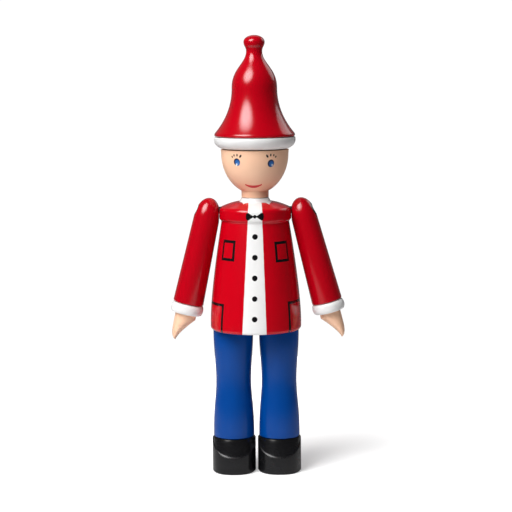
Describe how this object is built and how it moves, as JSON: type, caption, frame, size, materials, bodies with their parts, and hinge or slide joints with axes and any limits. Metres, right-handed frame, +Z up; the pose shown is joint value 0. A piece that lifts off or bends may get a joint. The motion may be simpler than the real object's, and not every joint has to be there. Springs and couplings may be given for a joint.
{
  "type": "wooden christmas figure",
  "caption": "Standing turned-wood Christmas figure in a red coat and bell hat with a white brim, doweled legs and shoes, arms that swing at the shoulder and a head that turns.",
  "frame": {"origin": "on the ground under the middle of the figure, midway between the two legs", "axes": "+Z up, the figure faces -Y, and its own left hand is at +X"},
  "size_m": [0.0799, 0.0416, 0.2004],
  "materials": {
    "red_enamel": "smooth sprayed enamel on beech, satin gloss",
    "white_enamel": "smooth sprayed enamel on beech, satin",
    "skin_enamel": "smooth sprayed enamel on beech, satin",
    "blue_enamel": "smooth sprayed enamel on beech, satin",
    "black_enamel": "smooth sprayed enamel on beech, gloss",
    "bare_beech": "bare turned dowel",
    "dark_steel": "blackened steel",
    "dark_fibre": "black washer, matt"
  },
  "bodies": {
    "trunk": {"coat": "red_enamel", "left_leg": "blue_enamel", "right_leg": "blue_enamel", "left_shoe": "black_enamel", "right_shoe": "black_enamel", "left_hip_dowel": "bare_beech", "right_hip_dowel": "bare_beech", "left_ankle_dowel": "bare_beech", "right_ankle_dowel": "bare_beech", "left_shoulder_screw": "dark_steel", "right_shoulder_screw": "dark_steel", "left_shoulder_washer": "dark_fibre", "right_shoulder_washer": "dark_fibre"},
    "head": {"head": "skin_enamel", "hat_dowel": "bare_beech", "hat_brim": "white_enamel", "hat_crown": "red_enamel"},
    "left_arm": {"left_sleeve": "red_enamel", "left_cuff": "white_enamel", "left_hand": "skin_enamel"},
    "right_arm": {"right_sleeve": "red_enamel", "right_cuff": "white_enamel", "right_hand": "skin_enamel"}
  },
  "joints": [
    {"name": "left_arm_swing", "type": "hinge", "parent": "trunk", "child": "left_arm", "pos_m": [0.02136, 0, 0.1215], "axis": [-1, 0, 0], "continuous": true},
    {"name": "right_arm_swing", "type": "hinge", "parent": "trunk", "child": "right_arm", "pos_m": [-0.02136, 0, 0.1215], "axis": [-1, 0, 0], "continuous": true},
    {"name": "head_turn", "type": "hinge", "parent": "trunk", "child": "head", "pos_m": [0, 0, 0.1269], "axis": [0, 0, 1], "continuous": true}
  ]
}
